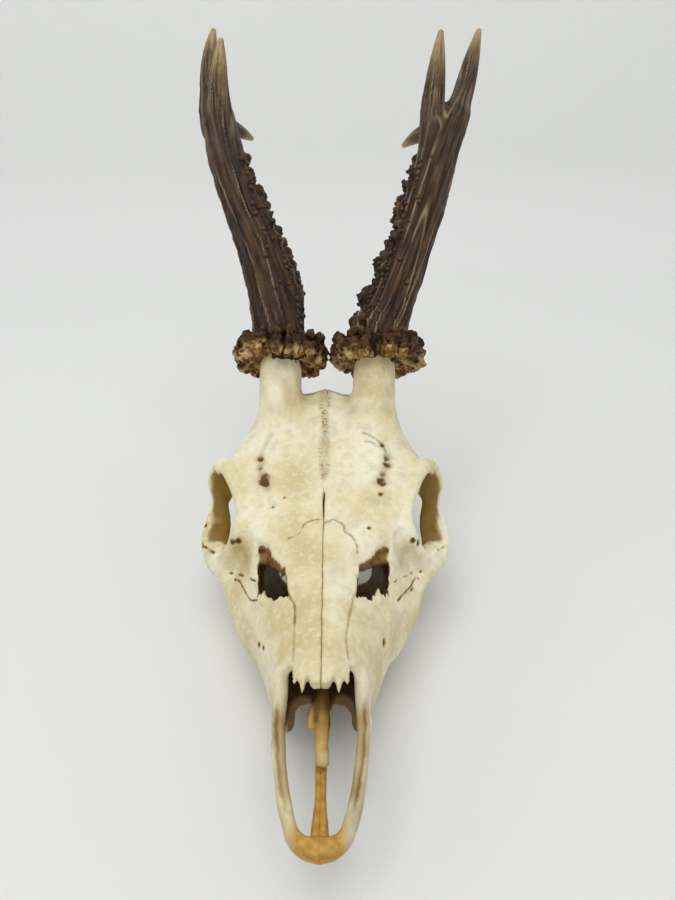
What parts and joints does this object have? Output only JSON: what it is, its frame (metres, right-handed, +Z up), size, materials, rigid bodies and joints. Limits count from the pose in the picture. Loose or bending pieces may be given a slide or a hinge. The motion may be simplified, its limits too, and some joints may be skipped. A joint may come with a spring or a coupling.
{
  "type": "roe deer skull with antlers",
  "caption": "Life-size roe buck skull without the lower jaw, with both antlers, resting on its back molars and jugular processes.",
  "frame": {"origin": "middle of the bounding box on the floor plane that the skull rests on", "axes": "+X to the animal's own left, +Y backwards from nose to antler tips, +Z up"},
  "size_m": [0.1326, 0.2948, 0.2066],
  "materials": {
    "bone": "dry cleaned bone, satin",
    "aged_bone": "amber, dried cartilage and thin bone",
    "antler": "rough dark antler with pale worn ridges",
    "coronet": "rough knobbly burr, dark brown over tan"
  },
  "bodies": {
    "root": {"nasal_left": "bone", "nasal_right": "bone", "premaxilla_left": "bone", "premaxilla_right": "bone", "maxilla_left": "bone", "maxilla_right": "bone", "frontal_left": "bone", "frontal_right": "bone", "zygomatic_left": "bone", "zygomatic_right": "bone", "braincase": "bone", "vomer": "aged_bone", "coronet_left": "coronet", "beam_left": "antler", "top_tine_left": "antler", "rear_tine_left": "antler", "front_tine_left": "antler", "coronet_right": "coronet", "beam_right": "antler", "top_tine_right": "antler", "rear_tine_right": "antler", "front_tine_right": "antler"}
  },
  "joints": []
}
